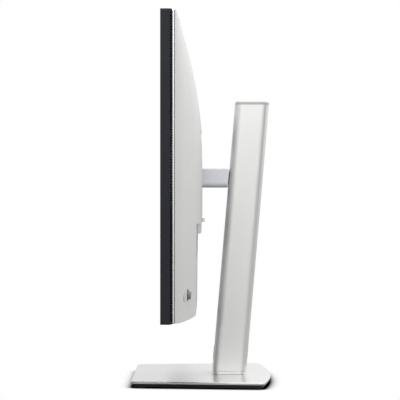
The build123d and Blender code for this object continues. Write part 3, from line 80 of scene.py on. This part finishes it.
class Tree:
    """A short way to write a shader: add nodes, set their inputs and link them."""

    def __init__(self, name):
        self.material = bpy.data.materials.new(name)
        self.material.use_nodes = True
        self.tree = self.material.node_tree
        self.tree.nodes.clear()
        self.output = self.tree.nodes.new("ShaderNodeOutputMaterial")
        self.coordinates = self.tree.nodes.new("ShaderNodeTexCoord")

    def node(self, kind, **inputs):
        """A node of that kind, with each input set to a value or linked from a socket."""
        made = self.tree.nodes.new("ShaderNode" + kind)
        for key, value in inputs.items():
            self.put(made.inputs[key.replace("_", " ")], value)
        return made

    def put(self, socket, value):
        """Links a socket to the input, or sets the input to a plain value."""
        if isinstance(value, bpy.types.NodeSocket):
            self.tree.links.new(value, socket)
        else:
            socket.default_value = value

    def stretched(self, scale):
        """Object coordinates, scaled along each axis."""
        mapping = self.node("Mapping", Vector=self.coordinates.outputs["Object"])
        mapping.inputs["Scale"].default_value = scale
        return mapping.outputs["Vector"]

    def noise(self, scale, detail=3.0, roughness=0.5, vector=None):
        """Fractal noise over the object's own coordinates."""
        made = self.node("TexNoise", Scale=scale, Detail=detail, Roughness=roughness)
        self.put(made.inputs["Vector"], vector or self.coordinates.outputs["Object"])
        return made.outputs["Fac"]

    def remap(self, value, start, end, low, high):
        """Maps the span start..end to the range low..high."""
        made = self.node("MapRange", Value=value)
        for key, number in zip(RANGE_ENDS, (start, end, low, high)):
            made.inputs[key].default_value = number
        return made.outputs["Result"]

    def ramp(self, noise, low, high):
        """Maps noise, which keeps near its middle, to the range low..high."""
        return self.remap(noise, NOISE_LOW, NOISE_HIGH, low, high)

    def tint(self, value, dark, light):
        """Mixes two colours by a value."""
        made = self.tree.nodes.new("ShaderNodeMix")
        made.data_type = "RGBA"
        self.put(made.inputs[0], value)
        made.inputs[6].default_value = (*dark, 1)
        made.inputs[7].default_value = (*light, 1)
        return made.outputs[2]

    def math(self, operation, first, second=0.0):
        """One arithmetic step on values or sockets."""
        made = self.tree.nodes.new("ShaderNodeMath")
        made.operation = operation
        self.put(made.inputs[0], first)
        self.put(made.inputs[1], second)
        return made.outputs[0]

    def bump(self, height, strength, distance, normal=None):
        """A relief of that real depth, on top of another normal if there is one."""
        made = self.node("Bump", Height=height, Strength=strength, Distance=distance)
        if normal is not None:
            self.put(made.inputs["Normal"], normal)
        return made.outputs["Normal"]

    def surface(self, **inputs):
        """The principled shader that ends the material."""
        shader = self.node("BsdfPrincipled", **inputs)
        self.tree.links.new(shader.outputs[0], self.output.inputs["Surface"])
        return self.material


def shade(colour, factor):
    """The colour made lighter or darker."""
    return tuple(min(1.0, c * factor) for c in colour)


# ---------------------------------------------------------------- materials


GRAIN_DEPTH = 0.00005
METAL_GRAIN_DEPTH = 0.00004
RUBBER_GRAIN_DEPTH = 0.0001
HAZE_DEPTH = 0.00003


def moulded(name, colour, roughness, grain=1800.0, relief=0.12, variation=0.05, shine=0.5):
    """Moulded or painted plastic: a fine spark-eroded grain and a faint cloudiness."""
    t = Tree(name)
    cloud = t.noise(9.0, 4.0)
    fine = t.noise(grain, 2.0)
    tone = t.tint(t.ramp(cloud, 0.0, 1.0), shade(colour, 1 - variation), shade(colour, 1 + variation))
    gloss = t.ramp(t.noise(60.0, 5.0), roughness * 0.9, roughness * 1.1)
    return t.surface(
        Base_Color=tone,
        Roughness=gloss,
        Specular_IOR_Level=shine,
        Normal=t.bump(fine, relief, GRAIN_DEPTH),
    )


def anodised(name, colour, roughness, along=(1, 1, 1), metallic=0.75, relief=0.08):
    """Satin anodised aluminium: bead-blasted grain with a faint drawn direction."""
    t = Tree(name)
    drawn = t.noise(900.0, 3.0, 0.6, t.stretched(along))
    grain = t.noise(2600.0, 2.0)
    tone = t.tint(t.ramp(t.noise(5.0, 3.0), 0.0, 1.0), shade(colour, 0.97), shade(colour, 1.03))
    gloss = t.ramp(drawn, roughness * 0.88, roughness * 1.12)
    fine = t.bump(grain, relief, METAL_GRAIN_DEPTH)
    return t.surface(
        Base_Color=tone,
        Roughness=gloss,
        Metallic=metallic,
        Normal=t.bump(drawn, relief, METAL_GRAIN_DEPTH, fine),
    )


def steel(name, colour, roughness):
    """Plain or plated steel with rolling marks and a slightly uneven shine."""
    t = Tree(name)
    marks = t.noise(500.0, 4.0, 0.6, t.stretched((1, 14, 1)))
    tone = t.tint(t.ramp(marks, 0.0, 1.0), shade(colour, 0.9), shade(colour, 1.08))
    gloss = t.ramp(t.noise(80.0, 4.0), roughness * 0.8, roughness * 1.2)
    relief = t.bump(marks, 0.1, METAL_GRAIN_DEPTH)
    return t.surface(Base_Color=tone, Roughness=gloss, Metallic=1.0, Normal=relief)


def rubber(name, colour):
    """Soft black rubber, dusty and dull."""
    t = Tree(name)
    tone = t.tint(t.ramp(t.noise(120.0, 5.0), 0.0, 1.0), colour, shade(colour, 1.8))
    relief = t.bump(t.noise(1500.0), 0.3, RUBBER_GRAIN_DEPTH)
    return t.surface(Base_Color=tone, Roughness=0.85, Normal=relief)


MASK_GREEN = (0.012, 0.09, 0.035)
TRACK_GREEN = (0.03, 0.17, 0.07)


def circuit_board(name):
    """Green solder mask over copper tracks."""
    t = Tree(name)
    cells = t.node("TexVoronoi", Scale=420.0, Vector=t.coordinates.outputs["Object"])
    cells.feature = "DISTANCE_TO_EDGE"
    tracks = t.ramp(cells.outputs["Distance"], 1.0, 0.0)
    tone = t.tint(tracks, MASK_GREEN, TRACK_GREEN)
    return t.surface(Base_Color=tone, Roughness=0.35, Normal=t.bump(tracks, 0.2, GRAIN_DEPTH))


SCREEN_BORDER = 0.0055
BORDER_EDGE = 0.0001
SCREEN_BLACK = (0.013, 0.0135, 0.0155)
BORDER_BLACK = (0.003, 0.003, 0.0035)


def border_mask(t, box, margin):
    """1 within the margin of a panel's edges in X and Z, and 0 inside it."""
    split = t.node("SeparateXYZ", Vector=t.coordinates.outputs["Object"])
    reaches = []
    for axis, socket in ((0, "X"), (2, "Z")):
        middle = (box[0][axis] + box[1][axis]) / 2
        half = (box[1][axis] - box[0][axis]) / 2 - margin
        offset = t.math("ABSOLUTE", t.math("SUBTRACT", split.outputs[socket], middle))
        reaches.append(t.math("SUBTRACT", offset, half))
    return t.remap(t.math("MAXIMUM", *reaches), -BORDER_EDGE, BORDER_EDGE, 0.0, 1.0)


def screen_surface(name):
    """The anti-glare front of a display that is off: near black with a fine haze and a blacker border."""
    t = Tree(name)
    haze = t.noise(3200.0, 2.0)
    border = border_mask(t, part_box("display_panel"), SCREEN_BORDER)
    return t.surface(
        Base_Color=t.tint(border, SCREEN_BLACK, BORDER_BLACK),
        Roughness=t.ramp(haze, 0.26, 0.34),
        Specular_IOR_Level=0.45,
        Normal=t.bump(haze, 0.06, HAZE_DEPTH),
    )


SILVER = (0.49, 0.49, 0.485)
BASE_SILVER = (0.56, 0.56, 0.555)
ALUMINIUM = (0.725, 0.725, 0.717)
BRIGHT_TRIM = (0.80, 0.81, 0.81)
BLUE_GREY = (0.58, 0.59, 0.63)
BUTTON_GREY = (0.80, 0.81, 0.85)
POWER_GREY = (0.40, 0.40, 0.395)
CAP_GREY = (0.36, 0.36, 0.36)
CONTROL_GREY = (0.16, 0.16, 0.16)
CHARCOAL = (0.0135, 0.014, 0.019)
TRAY_BLACK = (0.012, 0.012, 0.013)
INLET_BLACK = (0.012, 0.012, 0.012)
RUBBER_BLACK = (0.008, 0.008, 0.008)
NYLON_BLACK = (0.020, 0.020, 0.022)
NYLON_WHITE = (0.78, 0.78, 0.74)
FILM_WHITE = (0.8, 0.81, 0.83)
ACRYLIC_WHITE = (0.85, 0.88, 0.9)
REFLECTOR_WHITE = (0.9, 0.9, 0.9)
RIBBON_WHITE = (0.72, 0.72, 0.68)
STEEL_GREY = (0.55, 0.55, 0.56)
CAST_GREY = (0.40, 0.40, 0.41)
SHEET_GREY = (0.62, 0.62, 0.62)
PLATED_GREY = (0.66, 0.66, 0.67)

# How far the drawn direction stretches the grain along each axis
DRAWN_SIDEWAYS = (1, 18, 1)
DRAWN_UPWARDS = (18, 18, 1)


def frame_plastic(name):
    """The screen frame's charcoal plastic, with a coarser grain and little shine."""
    return moulded(name, CHARCOAL, 0.6, grain=1400.0, relief=0.2, variation=0.08, shine=0.2)


def cover_plastic(name):
    """The back cover's silver paint, very even and nearly matt."""
    return moulded(name, SILVER, 0.62, grain=2200.0, relief=0.06, variation=0.02, shine=0.2)


materials = {
    "base_metal": anodised("base_metal", BASE_SILVER, 0.26, DRAWN_SIDEWAYS),
    "tray_plastic": moulded("tray_plastic", TRAY_BLACK, 0.55),
    "foot_rubber": rubber("foot_rubber", RUBBER_BLACK),
    "steel": steel("steel", STEEL_GREY, 0.3),
    "nylon_dark": moulded("nylon_dark", NYLON_BLACK, 0.5),
    "nylon_white": moulded("nylon_white", NYLON_WHITE, 0.5),
    "column_metal": anodised("column_metal", ALUMINIUM, 0.38, DRAWN_UPWARDS),
    "cap_plastic": moulded("cap_plastic", CAP_GREY, 0.42),
    "die_cast": steel("die_cast", CAST_GREY, 0.5),
    "neck_plastic": moulded("neck_plastic", BLUE_GREY, 0.45),
    "frame_plastic": frame_plastic("frame_plastic"),
    "trim_metal": anodised("trim_metal", BRIGHT_TRIM, 0.25),
    "screen_glass": screen_surface("screen_glass"),
    "film": moulded("film", FILM_WHITE, 0.4),
    "acrylic": moulded("acrylic", ACRYLIC_WHITE, 0.1),
    "reflector": moulded("reflector", REFLECTOR_WHITE, 0.5),
    "circuit": circuit_board("circuit"),
    "cover_plastic": cover_plastic("cover_plastic"),
    "sheet_steel": steel("sheet_steel", SHEET_GREY, 0.35),
    "socket_metal": steel("socket_metal", PLATED_GREY, 0.22),
    "inlet_plastic": moulded("inlet_plastic", INLET_BLACK, 0.45),
    "button_plastic": moulded("button_plastic", BUTTON_GREY, 0.4),
    "control_grey": moulded("control_grey", CONTROL_GREY, 0.45),
    "power_plastic": moulded("power_plastic", POWER_GREY, 0.35),
    "ribbon": moulded("ribbon", RIBBON_WHITE, 0.4),
}

SMOOTH_ANGLE = math.radians(28)


def dress_nodes():
    """Gives each CAD node the finish of its material slot and smooth shading across its curves."""
    for part in frame["record"]["subparts"]:
        node = nodes[part["node"]]
        node.data.materials.clear()
        node.data.materials.append(materials[part["material_slot"]])
        node.data.shade_smooth()
        node.data.set_sharp_from_angle(angle=SMOOTH_ANGLE)


dress_nodes()

# ---------------------------------------------------------------- seam behind the trim, filled with painted shade

SEAM_SET_BACK = 0.0009
SEAM_DEPTH = 0.0024
SEAM_GAP = 0.0008
SEAM_CLEARANCE = 0.00006
SEAM_CORNER, SEAM_INNER_CORNER = 0.0014, 0.0006
CORNER_STEPS = 8


def rounded_outline(box, inset, radius):
    """The points of a rounded rectangle in X and Z, inset from a box's sides."""
    reach = inset + radius
    left, bottom = box[0][0] + reach, box[0][2] + reach
    right, top = box[1][0] - reach, box[1][2] - reach
    points = []
    for quarter, (x, z) in enumerate([(right, top), (left, top), (left, bottom), (right, bottom)]):
        for step in range(CORNER_STEPS + 1):
            turn = math.radians(90 * (quarter + step / CORNER_STEPS))
            points.append((x + radius * math.cos(turn), z + radius * math.sin(turn)))
    return points


def ring_faces(rows, count):
    """The quads of a closed ring: each row of points joins the next, and the last joins the first."""
    faces = []
    for row in range(rows):
        here, there = row * count, (row + 1) % rows * count
        for step in range(count):
            ahead = (step + 1) % count
            faces.append((here + step, there + step, there + ahead, here + ahead))
    return faces


def seam_shade_strip():
    """A thin black strip that fills the seam between the trim and the back cover: painted shade standing
    for the dark shadow gap there.
    """
    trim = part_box("trim_ring")
    rear = trim[1][1] - SEAM_CLEARANCE
    front = rear - SEAM_GAP + 2 * SEAM_CLEARANCE
    outer = rounded_outline(trim, SEAM_SET_BACK, SEAM_CORNER)
    inner = rounded_outline(trim, SEAM_SET_BACK + SEAM_DEPTH, SEAM_INNER_CORNER)
    rows = [(outer, front), (outer, rear), (inner, rear), (inner, front)]
    verts = [(x, y, z) for outline, y in rows for x, z in outline]
    mesh = bpy.data.meshes.new("seam_shade_strip")
    mesh.from_pydata(verts, [], ring_faces(len(rows), len(outer)))
    shade_strip = bpy.data.objects.new("seam_shade_strip", mesh)
    bpy.context.scene.collection.objects.link(shade_strip)
    # the strip's black is painted shade for the shadow inside the seam
    mesh.materials.append(materials["nylon_dark"])
    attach(shade_strip, "head")


seam_shade_strip()

# ---------------------------------------------------------------- stage and light

# Each light's strength, and the span of the direction's X or Z over which it comes up
AMBIENT_LIGHT = 0.20
FRONT_LIGHT, FRONT_SPAN = 1.48, (0.35, 0.95)
BACKDROP_LIGHT, BACKDROP_SPAN = 1.12, (0.1, 0.7)
OVERHEAD_LIGHT, OVERHEAD_SPAN = 0.1, (0.1, 0.9)


class WorldTree:
    """A short way to write the world's shader."""

    def __init__(self, name):
        self.world = bpy.data.worlds.new(name)
        self.world.use_nodes = True
        self.tree = self.world.node_tree
        self.tree.nodes.clear()

    def node(self, kind):
        return self.tree.nodes.new("ShaderNode" + kind)

    def link(self, source, target):
        self.tree.links.new(source, target)

    def add(self, first, second):
        """The sum of a socket and another socket or number."""
        made = self.node("Math")
        made.operation = "ADD"
        self.link(first, made.inputs[0])
        if isinstance(second, bpy.types.NodeSocket):
            self.link(second, made.inputs[1])
        else:
            made.inputs[1].default_value = second
        return made.outputs[0]

    def spread(self, value, span, strength):
        """Light that comes up smoothly over a span of one of the direction's coordinates."""
        made = self.node("MapRange")
        made.interpolation_type = "SMOOTHSTEP"
        self.link(value, made.inputs["Value"])
        for key, number in zip(RANGE_ENDS, (*span, 0.0, strength)):
            made.inputs[key].default_value = number
        return made.outputs["Result"]


def world_light():
    """Soft light from the viewer's side, from the far side and from above, and a plain white backdrop."""
    t = WorldTree("studio")
    bpy.context.scene.world = t.world
    split = t.node("SeparateXYZ")
    t.link(t.node("TexCoord").outputs["Generated"], split.inputs[0])
    away = t.node("Math")
    away.operation = "MULTIPLY"
    t.link(split.outputs["X"], away.inputs[0])
    away.inputs[1].default_value = -1.0
    front = t.spread(split.outputs["X"], FRONT_SPAN, FRONT_LIGHT)
    behind = t.spread(away.outputs[0], BACKDROP_SPAN, BACKDROP_LIGHT)
    overhead = t.spread(split.outputs["Z"], OVERHEAD_SPAN, OVERHEAD_LIGHT)
    light = t.node("Background")
    t.link(t.add(t.add(front, behind), t.add(overhead, AMBIENT_LIGHT)), light.inputs["Strength"])
    backdrop = t.node("Background")
    backdrop.inputs["Color"].default_value = (1, 1, 1, 1)
    mix = t.node("MixShader")
    t.link(t.node("LightPath").outputs["Is Camera Ray"], mix.inputs[0])
    t.link(light.outputs[0], mix.inputs[1])
    t.link(backdrop.outputs[0], mix.inputs[2])
    t.link(mix.outputs[0], t.node("OutputWorld").inputs["Surface"])


def area_light(name, place, target, size, power):
    """A soft square light aimed at a point."""
    data = bpy.data.lights.new(name, "AREA")
    data.shape = "SQUARE"
    data.size = size
    data.energy = power
    lamp = bpy.data.objects.new(name, data)
    bpy.context.scene.collection.objects.link(lamp)
    lamp.location = place
    lamp.rotation_euler = (Vector(target) - Vector(place)).to_track_quat("-Z", "Y").to_euler()


FLOOR_REACH = 30.0
FLOOR_BOUNCE = 0.22
CONTACT_REACH = 0.04
CONTACT_SAMPLES = 32
CONTACT_SHUT, CONTACT_OPEN = 0.5, 0.93


def floor_material():
    """White to look at, with soft contact shadows painted into its glow from ambient occlusion, and dim
    in what it throws back at the monitor.
    """
    t = Tree("floor")
    openness = t.node("AmbientOcclusion", Distance=CONTACT_REACH)
    openness.samples = CONTACT_SAMPLES
    # painted shade: the glow the camera sees darkens where ambient occlusion finds the monitor's base
    # close by
    shown = t.remap(openness.outputs["AO"], CONTACT_SHUT, CONTACT_OPEN, 0.0, 1.0)
    seen = t.node("Emission", Strength=shown)
    dim = t.node("BsdfDiffuse", Color=(FLOOR_BOUNCE, FLOOR_BOUNCE, FLOOR_BOUNCE, 1))
    path = t.node("LightPath")
    mix = t.node("MixShader")
    t.tree.links.new(path.outputs["Is Camera Ray"], mix.inputs[0])
    t.tree.links.new(dim.outputs[0], mix.inputs[1])
    t.tree.links.new(seen.outputs[0], mix.inputs[2])
    t.tree.links.new(mix.outputs[0], t.output.inputs["Surface"])
    return t.material


def make_stage():
    """A pale floor that carries the painted contact shadow."""
    mesh = bpy.data.meshes.new("floor")
    ends = (-FLOOR_REACH, FLOOR_REACH)
    corners = [(ends[i], ends[j], 0) for i, j in ((0, 0), (1, 0), (1, 1), (0, 1))]
    mesh.from_pydata(corners, [], [(0, 1, 2, 3)])
    floor = bpy.data.objects.new("floor", mesh)
    bpy.context.scene.collection.objects.link(floor)
    mesh.materials.append(floor_material())


world_light()
make_stage()
area_light("key", place=(1.5, 0.0, 1.5), target=(0, 0, 0.3), size=1.0, power=24.6)
area_light("top", place=(0.0, 0.3, 1.6), target=(0, 0, 0.2), size=1.0, power=10.0)
area_light("back", place=(-0.5, 1.8, 1.0), target=(0.1, 0, 0.25), size=0.9, power=24.0)
area_light("rim", place=(-1.4, 0.9, 1.5), target=(0.1, 0, 0.3), size=0.9, power=19.0)
bpy.context.scene.view_settings.view_transform = "Standard"
